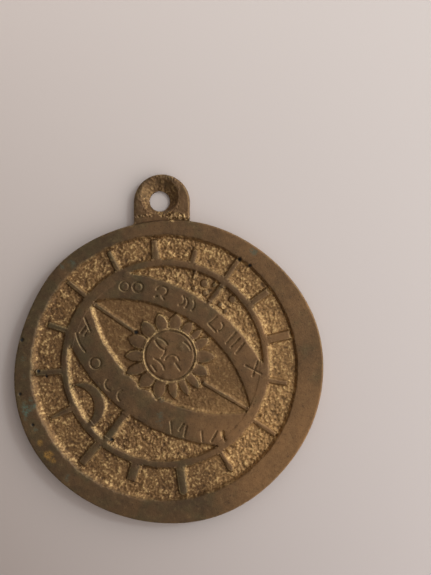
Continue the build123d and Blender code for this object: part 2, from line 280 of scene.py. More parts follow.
def points_by_segments(points, rows, reach):
    """Pairs of point indices and the segments that may be near them, tile by tile."""
    tile, batch = 4.0, 4000
    low, high = rows.min(axis=1) - reach, rows.max(axis=1) + reach
    cells = np.floor(points / tile).astype(int)
    keys = cells[:, 0] * 1000 + cells[:, 1]
    order = np.argsort(keys, kind="stable")
    starts = np.flatnonzero(np.r_[True, np.diff(keys[order]) != 0])
    pairs = []
    for index in np.split(order, starts[1:]):
        corner = cells[index[0]] * tile
        some = np.flatnonzero(((high >= corner) & (low <= corner + tile)).all(axis=1))
        if len(some):
            pairs += [(part, some) for part in np.array_split(index, len(index) // batch + 1)]
    return pairs


# ======== What stands on the ground ========
# Where two of these meet, the one named first owns the wall between them
FAMILIES = ("rim", "ring", "sun_face", "petal", "sign_band_upper", "sign_band_lower", "ray",
            "axis_bar_upper", "axis_bar_lower", "moon", "ring_spur", "star",
            "equator_ridge_left", "equator_ridge_right")
# Pairs of families that keep a wall between them where they touch
OUTLINED = ({"petal"}, {"petal", "sign_band_upper"}, {"petal", "sign_band_lower"})


def family(node):
    return re.sub(r"_\d+$", "", node)


def low_corner(node):
    return np.array(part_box(node)[0]) / MM


def high_corner(node):
    return np.array(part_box(node)[1]) / MM


relief = sorted((node for node in frame["nodes"] if family(node) in FAMILIES),
                key=lambda node: (FAMILIES.index(family(node)), node))
PLATE, LUG = len(relief), len(relief) + 1
ground_level = high_corner("back_plate")[2]
disc_loop = top_loops("back_plate")[0]
disc_rows = segments(disc_loop)


def node_loops(node):
    """Loops of a relief node's outline."""
    if family(node) == "star":
        low, high = low_corner(node), high_corner(node)
        return [circle((low + high)[:2] / 2, (high - low)[0] / 2, 32)]
    loops = top_loops(node)
    if node == "rim":
        return loops[1:2]
    return loops[:2] if node == "ring" else loops[:1]


outlines = {node: node_loops(node) for node in relief}
outline_rows = {node: np.concatenate([segments(loop) for loop in outlines[node]]) for node in relief}
outline_rows["rim"] = np.concatenate([disc_rows, outline_rows["rim"]])
footprints = {node: np.concatenate([segments(moved_right(loop, FOOT_MARGIN)) for loop in outlines[node]])
              for node in relief}
footprints["rim"] = np.concatenate([disc_rows, footprints["rim"]])
rises = {node: high_corner(node)[2] - ground_level for node in relief}
slots = {node: np.concatenate([segments(loop) for loop in top_loops(node)[1:]])
         for node in ("sun_face", "sign_band_upper", "sign_band_lower")}
face_centre = outlines["sun_face"][0].mean(axis=0)
face_radius = perimeter(outlines["sun_face"][0]) / math.tau


# ---- Hanging lug: a round-topped tab on the disc's edge, with a dish round its hole ----
lug_low, lug_high = low_corner("hanging_lug"), high_corner("hanging_lug")
lug_radius = (lug_high - lug_low)[0] / 2
lug_centre = np.array([(lug_low + lug_high)[0] / 2, lug_high[1] - lug_radius])
lug_root = [[lug_centre[0] + side * LUG_ROOT * lug_radius, 0] for side in (-1, 1)]
lug_outline = np.concatenate([arc(lug_centre, lug_radius, np.linspace(0, math.pi, 70)), lug_root])
lug_rows = segments(lug_outline)
hole_mount = next(mount for mount in frame["record"]["mounts"] if mount["name"] == "hanging_hole")
hole_centre = np.array(hole_mount["pos_m"][:2]) / MM
hole_radius = hole_mount["dims"]["r_mm"]
throat_top = hole_mount["dims"]["length_mm"]
lug_top = lug_high[2]
dish_loop = top_loops("hanging_lug")[1]
dish_centre = dish_loop.mean(axis=0)
dish_radius = perimeter(dish_loop) / math.tau
hole_rows = segments(circle(hole_centre, hole_radius, 90)[::-1])


def owner(points):
    """Place of each point's node in relief, or PLATE, or LUG, or -1 outside the casting."""
    found = np.full(len(points), -1)
    found[inside_near(points, lug_rows) & ~inside_near(points, hole_rows)] = LUG
    found[inside_near(points, disc_rows)] = PLATE
    for number in reversed(range(len(relief))):
        found[inside_near(points, footprints[relief[number]])] = number
    return found


def walls_and_joints(node):
    """A node's outline in two: free walls, and joints where another node stands against it."""
    if node == "rim":
        return segments(outlines[node][0]), np.zeros((0, 2, 2))
    rows = divided(outline_rows[node], JOINT_SPACING)
    probe = rows.mean(axis=1) + right_of(rows) * JOINT_PROBE
    joined = np.zeros(len(rows), bool)
    for other in relief:
        if other not in (node, "rim") and {family(node), family(other)} not in OUTLINED:
            joined |= inside_near(probe, outline_rows[other])
    return rows[~joined], rows[joined]


def free_edge():
    """The outline of the disc and the lug together."""
    disc, lug = divided(disc_rows, EDGE_SPACING), divided(lug_rows, EDGE_SPACING)
    return np.concatenate([disc[~inside_near(disc.mean(axis=1), lug_rows)],
                           lug[~inside_near(lug.mean(axis=1), disc_rows)]])


walls = {node: walls_and_joints(node) for node in relief}
outer_rows = free_edge()


# ======== The surface as a height ========
def smooth(share):
    share = np.clip(share, 0, 1)
    return share * share * (3 - 2 * share)


def noise(points, kind):
    """Seeded random bumps of one kind, from -1 to 1."""
    size, seed = BUMPS[kind]
    generator = np.random.default_rng(seed)
    lattice = generator.uniform(-1, 1, (256, 256))
    turn = generator.uniform(0, math.tau)
    turned = points @ np.array([[math.cos(turn), -math.sin(turn)], [math.sin(turn), math.cos(turn)]])
    place = turned / size + generator.uniform(0, 256, 2)
    cell = np.floor(place).astype(int)
    share = smooth(place - cell)
    (x, y), (next_x, next_y) = (cell % 256).T, ((cell + 1) % 256).T
    low = lattice[x, y] * (1 - share[:, 0]) + lattice[next_x, y] * share[:, 0]
    high = lattice[x, next_y] * (1 - share[:, 0]) + lattice[next_x, next_y] * share[:, 0]
    return low * (1 - share[:, 1]) + high * share[:, 1]


def near_flower(points):
    """1 on the face and its petals, and 0 away from them."""
    return smooth(FLOWER_RADIUS - np.linalg.norm(points - face_centre, axis=1))


def step_up(node, depth, width, ragged):
    """A wall's share of its rise, softened by use, and the height of the piece with its rounded top."""
    ramp = np.clip(depth / width + 0.5 + ragged, 0, 1)
    step = (ramp + smooth(ramp)) / 2
    share, reach = CROWNS.get(family(node), CROWN)
    crown = 1 - share * np.exp(-np.maximum(depth, 0) / reach)
    return step, rises[node] * step * crown


def covered_areas(points):
    """For each relief node, the points near it and which of them it covers, and all that are covered."""
    within, covered = {}, np.zeros(len(points), bool)
    for node in relief:
        near = near_box(points, outline_rows[node], WALL_REACH)
        member = inside(points[near], walls[node][0] if node == "rim" else outline_rows[node])
        within[node] = (near, ~member if node == "rim" else member)
        covered[near] |= within[node][1]
    return within, covered


def relief_height(points):
    """Height of the relief, its cover from 0 to 1, the distance to its walls, and the bright bead and
    painted highlight on lit walls.
    """
    ragged = noise(points, "wall") + RAGGED_FINE * noise(points, "wall_fine")
    ragged = WALL_RAGGED * (1 + near_flower(points)) * ragged
    within, covered = covered_areas(points)
    height, cover = np.zeros(len(points)), np.zeros(len(points))
    clear, painted_highlight = np.full(len(points), WALL_REACH), np.zeros(len(points))
    for node, (near, member) in within.items():
        free, joints = walls[node]
        here = points[near]
        member = member | (covered[near] & (distance(here, joints, JOINT_REACH) < JOINT_REACH))
        depth, row = nearest_row(here, free, WALL_REACH)
        facing = (right_of(free) @ FROM_LIGHT)[row]
        width = WALL_WIDTHS.get(family(node), WALL_WIDTH) * (1 + WALL_LEAN * facing)
        clear[near] = np.minimum(clear[near], depth)
        depth = np.where(member, depth, -depth)
        if family(node) == "ray":
            depth += RAY_SWELLS.get(node, RAY_SWELL)
        step, raised = step_up(node, depth, width, ragged[near])
        # Walls that face the light get a painted highlight, brightest halfway up them
        if family(node) not in WALLS_WITHOUT_PAINTED_HIGHLIGHT:
            bright = 4 * step * (1 - step) * np.clip(facing, 0, 1)
            painted_highlight[near] = np.where(raised > height[near], bright, painted_highlight[near])
        height[near] = np.maximum(height[near], raised)
        cover[near] = np.maximum(cover[near], step)
    past_face = np.linalg.norm(points - face_centre, axis=1) - face_radius
    web = smooth((WEB_WIDTH - past_face) / WALL_WIDTHS["petal"] + 0.5 + ragged)
    height = np.maximum(height, rises["petal_01"] * web * (1 - CROWN[0] / 2))
    bead = np.exp(-((past_face + BEAD_INSET) / BEAD_WIDTH) ** 2)
    bead = bead * np.clip(BEAD_MEAN + BEAD_UNEVEN * noise(points, "bead"), *BEAD_RANGE)
    height += BEAD_HEIGHT * bead + patches(points, FACE_BUMPS)
    return height, np.maximum(cover, web), clear, np.maximum(BRIGHT_BEAD * bead, PAINTED_HIGHLIGHT_STRENGTH * painted_highlight)


def incised(points):
    """Depth of the incised lines, as a share of the full depth."""
    cut = np.zeros(len(points))
    for rows in slots.values():
        near = near_box(points, rows, LINE_REACH + 0.1)
        gap = distance(points[near], rows, 0.5)
        gap = np.where(inside(points[near], rows), -gap, gap)
        gap += LINE_RAGGED * noise(points[near], "line_edge")
        cut[near] = np.maximum(cut[near], smooth((LINE_REACH - gap) / LINE_BEVEL))
    return cut


def dish_height(points):
    """Height of the dish round the lug's hole, a bowl between two circles."""
    offset = points - hole_centre
    shift, grow = dish_centre - hole_centre, dish_radius - hole_radius
    linear = hole_radius * grow + offset @ shift
    square = grow ** 2 - shift @ shift
    root = np.sqrt(np.maximum(linear ** 2 - square * (hole_radius ** 2 - (offset ** 2).sum(axis=1)), 0))
    share = np.maximum((root - linear) / square, 0)
    return throat_top + (lug_top - throat_top) * ((1 - DISH_BELLY) * share + DISH_BELLY * share ** 2)


def in_eye(points):
    """How far each point is inside the eye-shaped ground between the bands, from 0 to 1."""
    left = np.array([low_corner("equator_ridge_left")[0], high_corner("equator_ridge_left")[1]])
    right = np.array([high_corner("equator_ridge_right")[0], low_corner("equator_ridge_right")[1]])
    middle, half = (left + right) / 2, np.linalg.norm(right - left) / 2
    across = np.array([left[1] - right[1], right[0] - left[0]]) / (2 * half)
    radius = (half ** 2 + EYE_HALF_OPENING ** 2) / (2 * EYE_HALF_OPENING)
    shift = across * (radius - EYE_HALF_OPENING)
    gap = np.maximum(np.linalg.norm(points - middle - shift, axis=1),
                     np.linalg.norm(points - middle + shift, axis=1)) - radius
    return smooth(0.5 - gap)


def spots(points, places, ragged):
    """Soft spots: each place is (x, y, radius, strength)."""
    shift = ragged * noise(points, "spot")
    found = np.zeros(len(points))
    for x, y, radius, strength in places:
        away = np.hypot(points[:, 0] - x, points[:, 1] - y) / radius
        found = np.maximum(found, strength * smooth(1.5 - away + shift))
    return found


def patches(points, places):
    """Broad patches that add up."""
    return sum(strength * np.exp(-((points[:, 0] - x) ** 2 + (points[:, 1] - y) ** 2) / radius ** 2)
               for x, y, radius, strength in places)


# Low bumps of the face: nose, brow, cheeks and chin, as x, y, radius and height
FACE_BUMPS = (
    (1.3, 2.7, 0.45, 0.16), (2.4, 4.6, 0.5, 0.14), (0.7, 1.1, 0.5, 0.1), (-0.7, -1.2, 0.6, 0.1),
    (-1.4, 5.0, 0.5, 0.08), (-2.3, 1.2, 0.5, 0.08), (0.2, 6.2, 0.9, 0.06),
)
# Marks of wear and age, and patches of warmth that are partly painted light: x, y, radius, strength
PITS = (
    (-28.7, 6.2, 0.35, 1), (-29.1, -4.5, 0.3, 1), (-26.6, -10.5, 0.3, 1), (13.97, 22.0, 0.35, 1),
    (15.9, 20.7, 0.3, 1), (-25.5, 0, 0.3, 1), (-24, -1, 0.25, 1), (-6.4, 7.5, 0.4, 1),
    (-11.2, -13.5, 0.35, 1),
)
VERDIGRIS = (
    (-27.7, -7.4, 1.1, 1.2), (-28.5, 2.6, 0.6, 0.4), (-28.2, -0.9, 0.4, 0.35), (-19, 21.2, 0.6, 0.8),
    (-20.7, 20.4, 0.5, 0.8), (16.6, 23.6, 0.6, 0.8), (-25.9, -11.4, 0.4, 0.7), (-19.8, -20.8, 0.5, 0.5),
    (-1.9, -8.4, 0.5, 0.5), (-1.8, -9.6, 0.5, 0.6), (-1.6, -10.8, 0.5, 0.5), (-1.4, -5.6, 0.6, 0.6),
    (-27.0, -5.6, 0.4, 0.7), (-28.0, -9.2, 0.4, 0.6),
)
POLISHED = ((-23.3, -16.3, 0.8, 0.8), (-24.9, -14.0, 0.5, 0.7), (-22.6, -17.4, 0.5, 0.7))
# Warmth in patches, partly painted light and shade: warmer and lighter where the brass is lit
TONES = (
    (20, -19, 12, 0.42), (9, -10.5, 5, 0.25), (5, -24, 8, -0.25), (28, 2, 5, -0.3), (-16, -17, 7, -0.12),
    (20, 7, 4, 0.3), (0.2, 3, 6, 0.2), (6, -5, 3, -0.2), (-2, 33, 4, 0.15), (6, -21.5, 3, -0.25),
    (-15, 24, 7, -0.25),
)
COARSE = (
    (3, 24, 7, 0.5), (17, -15, 7, 0.7), (-17, 15, 5, 0.3), (13, 12, 6, 0.3), (-5, -13, 5, 0.4),
    (-16, 0, 4, 0.5), (6, -22, 5, -0.5), (-22, 3, 8, -0.42), (-17, -14, 5, -0.15),
)
CRUMBS = (
    (-2.3, 31.3, 0.4, 0.8), (-1.2, 30.9, 0.5, 1), (0.0, 30.9, 0.6, 1), (0.6, 29.9, 0.6, 1),
    (1.6, 30.6, 0.6, 1), (2.8, 30.4, 0.5, 1), (3.6, 29.9, 0.3, 1), (-6.7, 30.3, 0.25, 0.6),
    (-6.0, 30.45, 0.25, 0.8), (-5.2, 30.55, 0.25, 0.7), (-4.4, 30.6, 0.25, 0.8), (-3.5, 30.75, 0.3, 0.7),
)
CRUMBS_RAGGED, PITS_RAGGED, GREEN_RAGGED, POLISHED_RAGGED = 0.5, 0.3, 0.9, 0.6


def lug_share(points):
    """From 0 on the disc to 1 on the lug, with a soft root between them."""
    from_disc = distance(points, disc_rows, 2.0)
    past_disc = np.where(inside(points, disc_rows), -from_disc, from_disc)
    on_lug = inside_near(points, lug_rows) * smooth(distance(points, lug_rows, 1.0) / ROOT_SIDE)
    past_root = smooth((past_disc - 0.1) / ROOT_SIDE)
    return smooth(past_disc / ROOT_WIDTH + 0.5) * np.maximum(on_lug, past_root)


def with_lug(points, level, is_lug):
    """Heights with the lug and its dish, and how far each point is in the dish, from 0 to 1."""
    level = level + (lug_top - level) * is_lug
    dish = np.where(is_lug > 0, dish_height(points), math.inf)
    return np.minimum(level, dish), smooth((level - dish) / DISH_EDGE + 0.5)


def sand_height(points, cover, eye):
    """How high the sand's grain stands: most in the moat, less in the eye, and least on the relief."""
    coarse = COARSE_MEAN + patches(points, COARSE) + COARSE_UNEVEN * noise(points, "coarse")
    bare = 1 - cover ** 1.5
    return bare * (MOAT_GRAIN + (EYE_GRAIN - MOAT_GRAIN) * eye) * np.clip(coarse, *COARSE_RANGE)


def quarter_round(share):
    """How far a rounded edge falls, in radii, from its outer end at 0 to its inner end at 1."""
    return 1 - np.sqrt(np.maximum(1 - (1 - share) ** 2, 0))


def warmth(points, cover, eye):
    """How warmly coloured the brass is, from 0 to 1, partly painted light: warmer and lighter to the
    right and in some patches.
    """
    tone = TONE_MEAN - TONE_EYE * eye * (1 - cover) + TONE_ACROSS * points[:, 0] + patches(points, TONES)
    return tone + (TONE_UNEVEN * noise(points, "tone") + TONE_FINE * noise(points, "tone_fine"))


def worn_edge(points, clear, cover):
    """How far handling has brightened the relief's upper edges."""
    edge = np.exp(-((clear - WORN_INSET) / WORN_WIDTH) ** 2) * cover
    edge = edge * (1 + WORN_FLOWER * near_flower(points))
    return edge * (WORN_MEAN + WORN_UNEVEN * noise(points, "wear_and_painted_highlight"))


def surface(points):
    """Heights of the casting's upper side, with the marks that its finish is drawn from."""
    height, cover, clear, bright = relief_height(points)
    cut, eye, is_lug = incised(points), in_eye(points), lug_share(points)
    grain = sum(share * noise(points, kind) for kind, share in GRAIN_SHARES.items())
    crumbs, pits = spots(points, CRUMBS, CRUMBS_RAGGED), spots(points, PITS, PITS_RAGGED)
    depth = LINE_DEPTH * cut * (LINE_MEAN + LINE_UNEVEN * noise(points, "line_depth"))
    level, dished = with_lug(points, ground_level + height - depth, is_lug)
    bumps = grain * (sand_height(points, cover, eye) + DISH_GRAIN * dished) * GRAIN_HEIGHT
    bumps += CRUMB_HEIGHT * crumbs * noise(points, "crumb")
    level += bumps - PIT_DEPTH * pits
    level -= TOP_GRAIN * cover * (1 + noise(points, "top") + 2 * (1 + noise(points, "top_broad")))
    edge_round = DISC_ROUND + (LUG_ROUND - DISC_ROUND) * is_lug
    from_edge = np.minimum(distance(points, outer_rows, 1.0) / edge_round, 1)
    level = np.minimum(level - edge_round * quarter_round(from_edge), high_corner("rim")[2])
    marks = {
        "ground": (1 - cover ** 2) * (1 - EYE_SMOOTH * eye) * (is_lug < 0.5),
        "eye": eye * (1 - cover),
        "grain": 0.5 + 0.5 * grain,
        "recess": LINE_DARK * cut ** 3,
        "edge": 1 - from_edge,
        # Wear of the upper edges, the bright bead and the incised lines' bright edges, and the painted
        # highlight on walls that face the light
        "wear_and_painted_highlight": np.maximum(worn_edge(points, clear, cover), bright + LINE_BRIGHT * cut * (1 - cut)),
        "dish": dished,
        "warmth_and_painted_light": warmth(points, cover, eye),
        "crumbs": crumbs,
        "green": spots(points, VERDIGRIS, GREEN_RAGGED),
        "polished": spots(points, POLISHED, POLISHED_RAGGED),
        "dark_pits": pits,
    }
    return level, marks


# ======== Triangles ========
def lattice(spacing, seed):
    """Staggered, slightly shaken points over the casting's box."""
    low, high = np.array(cad_box[0][:2]) / MM, np.array(cad_box[1][:2]) / MM
    step = spacing * math.sqrt(3) / 2
    x, y = np.meshgrid(np.arange(low[0], high[0], spacing), np.arange(low[1], high[1], step))
    x[1::2] += spacing / 2
    points = np.stack([x.ravel(), y.ravel()], axis=1)
    shake = np.random.default_rng(seed).uniform(-LATTICE_SHAKE, LATTICE_SHAKE, points.shape)
    return points + shake * spacing


def near_marks(points, marks, cell, spread):
    """Whether each point is within about so many cells of a mark."""
    origin = marks.min(axis=0) - cell * (spread + 1)
    size = ((marks.max(axis=0) - origin) / cell).astype(int) + spread + 2
    grid = np.zeros(size, bool)
    row, column = ((marks - origin) / cell).astype(int).T
    for down in range(-spread, spread + 1):
        for along in range(-spread, spread + 1):
            grid[row + down, column + along] = True
    at = ((points - origin) / cell).astype(int)
    known = ((at >= 0) & (at < size)).all(axis=1)
    found = np.zeros(len(points), bool)
    found[known] = grid[at[known, 0], at[known, 1]]
    return found


def cut_lines():
    """Short segments along which the surface is cut into pieces."""
    rows = np.concatenate([footprints[node] for node in relief] + [lug_rows, hole_rows])
    rows = divided(rows, OUTLINE_SPACING)
    middle, side = rows.mean(axis=1), right_of(rows) * CUT_PROBE
    apart = owner(middle + side) != owner(middle - side)
    return rows[apart | np.roll(apart, 1) | np.roll(apart, -1)]


def surface_points(lines):
    """Points between the cut lines, closest where the surface is steep."""
    edge_rows = [moved_right(loop, -inset) for loop in (disc_loop, resampled(lug_outline))
                 for inset in EDGE_INSETS]
    steep_rows = np.concatenate([*outline_rows.values(), *slots.values(), hole_rows,
                                 segments(dish_loop), segments(circle(hole_centre, DISH_RING))])
    steep = divided(steep_rows, STEEP_SPACING).mean(axis=1)
    steep = np.concatenate([steep, [place[:2] for place in PITS + CRUMBS]])
    fine, middling, coarse = (lattice(spacing, seed) for seed, spacing in
                              enumerate((WALL_SPACING, GROUND_SPACING, TOP_SPACING)))
    fine = fine[near_marks(fine, steep, STEEP_CELL, 2)]
    middling = middling[~near_marks(middling, steep, STEEP_CELL, 2)]
    middling = middling[owner(middling) == PLATE]
    coarse = coarse[~near_marks(coarse, steep, STEEP_CELL, 2)]
    coarse = coarse[~np.isin(owner(coarse), (PLATE, -1))]
    kept = np.concatenate(edge_rows + [fine, middling, coarse])
    kept = kept[owner(kept) >= 0]
    return kept[~near_marks(kept, lines.reshape(-1, 2), CUT_CLEAR, 1)]


def resampled(loop):
    return divided(segments(loop), OUTLINE_SPACING)[:, 0]


def triangulate(points, edges):
    """Delaunay triangles that keep the edges, as points and counter-clockwise corners."""
    places = [Vector(point) for point in points.tolist()]
    corners, _, faces, sources, *_ = delaunay_2d_cdt(places, edges.tolist(), [], 0, 1e-7, True)
    corners = np.array([corner[:] for corner in corners])
    faces = np.array(faces)
    first, second, third = (corners[faces[:, number]] for number in range(3))
    flipped = np.cross(second - first, third - first) < 0
    faces[flipped] = faces[flipped][:, ::-1]
    return corners, faces, sources


# ======== Closed pieces ========
def add_object(name, data):
    made = bpy.data.objects.new(name, data)
    bpy.context.scene.collection.objects.link(made)
    return made


MARKS = ("ground", "eye", "grain", "recess", "edge", "wear_and_painted_highlight", "dish", "warmth_and_painted_light", "crumbs", "green",
         "polished", "dark_pits")  # named on the mesh, where the finish reads them


def plain_marks(points):
    """Marks of a side or back, which is neither sandy nor spotted."""
    marks = np.zeros((len(points), len(MARKS)))
    marks[:, MARKS.index("grain")] = 0.5 + 0.5 * noise(points[:, :2] + points[:, 2:], "side")
    marks[:, MARKS.index("warmth_and_painted_light")] = 0.5 + 0.35 * noise(points[:, :2], "tone")
    return marks


class Shell:
    """A closed mesh in the making: points with their marks, and triangles."""

    def __init__(self):
        self.points, self.marks, self.faces, self.count = [], [], [], 0

    def add(self, points, marks=None):
        """Adds points, with a side's plain marks if none are given, and returns their numbers."""
        numbers = np.arange(self.count, self.count + len(points))
        self.points.append(points)
        self.marks.append(plain_marks(points) if marks is None else marks)
        self.count += len(points)
        return numbers

    def strip(self, edges, upper, lower):
        """Wall of two triangles under each edge, between two rows of points."""
        start, end = edges.T
        self.faces.append(np.stack([upper[start], lower[start], lower[end]], axis=1))
        self.faces.append(np.stack([upper[start], lower[end], upper[end]], axis=1))

    def cap(self, numbers, edges, flip, inner=None):
        """Flat triangles inside closed loops of edges, facing down if flipped."""
        flat = np.concatenate(self.points)[numbers]
        if inner is not None:
            numbers = np.concatenate([numbers, self.add(inner)])
            flat = np.concatenate([flat, inner])
        made, faces, sources = triangulate(flat[:, :2], edges)
        faces = faces[inside(made[faces].mean(axis=1), flat[edges][:, :, :2])]
        back = np.array([source[0] if source else -1 for source in sources])
        if (back[faces] < 0).any():
            raise ValueError("the loops of a cap cross each other")
        faces = numbers[back[faces]]
        self.faces.append(faces[:, ::-1] if flip else faces)


def border_of(faces):
    """Directed edges that only one triangle has."""
    edges = faces[:, [0, 1, 1, 2, 2, 0]].reshape(-1, 2)
    size = edges.max() + 1
    forward, backward = edges[:, 0] * size + edges[:, 1], edges[:, 1] * size + edges[:, 0]
    return edges[~np.isin(forward, backward)]


def outward(points, node):
    """Unit vectors that point out of the casting's sides."""
    if node != "hanging_lug":
        return points / np.linalg.norm(points, axis=1, keepdims=True)
    out = points - lug_centre
    out[:, 1] = np.maximum(out[:, 1], 0)
    to_hole = hole_centre - points
    in_hole = np.linalg.norm(to_hole, axis=1) < hole_radius + SAME
    out[in_hole] = to_hole[in_hole]
    return out / np.maximum(np.linalg.norm(out, axis=1, keepdims=True), 1e-9)


def free_share(points, node):
    """From 0 where the lug grows out of the disc to 1 where a side is free."""
    other = disc_rows if node == "hanging_lug" else lug_rows
    return smooth(distance(points, other, 1.0)) * ~inside_near(points, other)


def flank(points, node, level):
    """Points of the casting's side at one level, under its outline."""
    ripple = noise(points + level * 1.7, "ripple") + noise(points - level, "ripple_broad") + 2
    inset = RIPPLE * ripple * smooth((ground_level + RIPPLE_TOP - level) / RIPPLE_FADE)
    inset = inset + BACK_ROUND * quarter_round(min(level / BACK_ROUND, 1))
    moved = points - outward(points, node) * (inset * free_share(points, node))[:, None]
    return at_level(moved, level)


def at_level(points, level):
    return np.column_stack([points, np.full(len(points), level)])


def back_points(node):
    """Points inside the back of the disc or the lug, with the slight unevenness of the mould."""
    points = lattice(BACK_SPACING, 5)
    points = points[owner(points) == LUG] if node == LUG else points[inside(points, disc_rows)]
    clear = distance(points, np.concatenate([disc_rows, lug_rows, hole_rows]), 1.2)
    points, clear = points[clear > BACK_CLEAR], clear[clear > BACK_CLEAR]
    bumps = sum(height * (1 + noise(points, kind)) for kind, height in BACK_BUMPS.items())
    return np.column_stack([points, bumps * smooth((clear - BACK_FLAT) / 0.5)])


SIDES = {  # levels of the rows of points on each side
    "rim": (2.95, 2.7, 2.4),
    "back_plate": (1.9, 1.6, 1.3, 1.0, 0.7, 0.45, 0.3, 0.2, 0.12, 0.06, 0.02, 0.0),
    "hanging_lug": (1.4, 1.1, 0.8, 0.55, 0.4, 0.3, 0.2, 0.12, 0.06, 0.02, 0.0),
}


def wall_down(shell, upper, edges, node, levels, outline=None):
    """Side of a piece, down from a row of points and under an outline. Returns the lowest row."""
    points = np.concatenate(shell.points)[upper, :2] if outline is None else outline
    for level in levels:
        row = flank(points, node, level) if node in SIDES else at_level(points, level)
        row[:, 2] = np.minimum(row[:, 2], np.concatenate(shell.points)[upper, 2] - 0.01)
        lower = shell.add(row)
        shell.strip(edges, upper, lower)
        upper = lower
    return upper


def build_shell(number, corners, marks, faces):
    """The closed shell of one node, from its triangles of the upper surface."""
    shell = Shell()
    used, local = np.unique(faces, return_inverse=True)
    top = local.reshape(-1, 3)
    shell.add(corners[used], marks[used])
    shell.faces.append(top)
    lip, edges = np.unique(border_of(top), return_inverse=True)
    edges = edges.reshape(-1, 2)
    seat = ground_level - SEAT_DEPTH
    if number == PLATE:
        build_plate(shell, lip, edges, seat)
    elif number == LUG:
        lowest = wall_down(shell, lip, edges, "hanging_lug", SIDES["hanging_lug"])
        shell.cap(lowest, edges, True, back_points(LUG))
    else:
        node = relief[number]
        lowest = wall_down(shell, lip, edges, node, (*SIDES.get(node, ()), seat))
        shell.cap(lowest, edges, True)
    return shell


def build_plate(shell, lip, edges, seat):
    """The disc under the relief: sunk seats, side and back."""
    low = shell.add(at_level(np.concatenate(shell.points)[lip, :2], seat))
    shell.strip(edges, lip, low)
    outline = resampled(disc_loop)
    number = np.arange(len(outline))
    around = np.stack([number, np.roll(number, -1)], axis=1)
    upper = shell.add(flank(outline, "back_plate", seat))
    shell.cap(np.concatenate([low, upper]), np.concatenate([edges, around + len(low)]), False)
    lowest = wall_down(shell, upper, around, "back_plate", SIDES["back_plate"], outline)
    shell.cap(lowest, around, True, back_points(PLATE))


def make_object(node, shell, material, top_count):
    """A Blender mesh from a shell, smooth but for the edges of its buried sides."""
    points = np.concatenate(shell.points) * MM
    faces = np.concatenate(shell.faces)
    marks = np.concatenate(shell.marks)
    mesh = bpy.data.meshes.new(node + "_cast")
    mesh.vertices.add(len(points))
    mesh.vertices.foreach_set("co", points.ravel())
    mesh.loops.add(faces.size)
    mesh.loops.foreach_set("vertex_index", faces.ravel().astype(np.int32))
    mesh.polygons.add(len(faces))
    mesh.polygons.foreach_set("loop_start", np.arange(0, faces.size, 3, dtype=np.int32))
    mesh.polygons.foreach_set("use_smooth", np.ones(len(faces), bool))
    mesh.update(calc_edges=True)
    for place, name in enumerate(MARKS):
        mesh.attributes.new(name, "FLOAT", "POINT").data.foreach_set("value", marks[:, place].copy())
    mark_sharp(mesh, points, faces, top_count)
    mesh.validate()
    mesh.materials.append(material)
    return add_object(node + "_cast", mesh)


def mark_sharp(mesh, points, faces, top_count):
    """Marks sharp the edges where a buried side ends: at the upper surface, the seats and the back."""
    border = border_of(faces[:top_count])
    middle = points[border].mean(axis=1)[:, :2] / MM
    free_rows = np.concatenate([outer_rows, hole_rows])
    border = border[distance(middle, free_rows, 0.05) > 2 * ON_EDGE]
    edges = np.empty(len(mesh.edges) * 2, np.int32)
    mesh.edges.foreach_get("vertices", edges)
    keys = np.sort(edges.reshape(-1, 2), axis=1) @ np.array([len(points), 1])
    sharp = np.isin(keys, np.sort(border, axis=1) @ np.array([len(points), 1]))
    at_seat = np.abs(points[:, 2] / MM - (ground_level - SEAT_DEPTH)) < SAME
    at_root = (points[:, 2] == 0) & (distance(points[:, :2] / MM, disc_rows, 0.05) < ON_EDGE)
    sharp |= (at_seat | at_root)[edges.reshape(-1, 2)].all(axis=1)
    mesh.attributes.new("sharp_edge", "BOOLEAN", "EDGE").data.foreach_set("value", sharp)


# ======== Finish ========
def srgb(red, green, blue):
    """A colour as it is seen, from 0 to 255, as Blender's linear values."""
    values = [value / 255 for value in (red, green, blue)]
    return tuple(v / 12.92 if v <= 0.04045 else ((v + 0.055) / 1.055) ** 2.4 for v in values) + (1.0,)


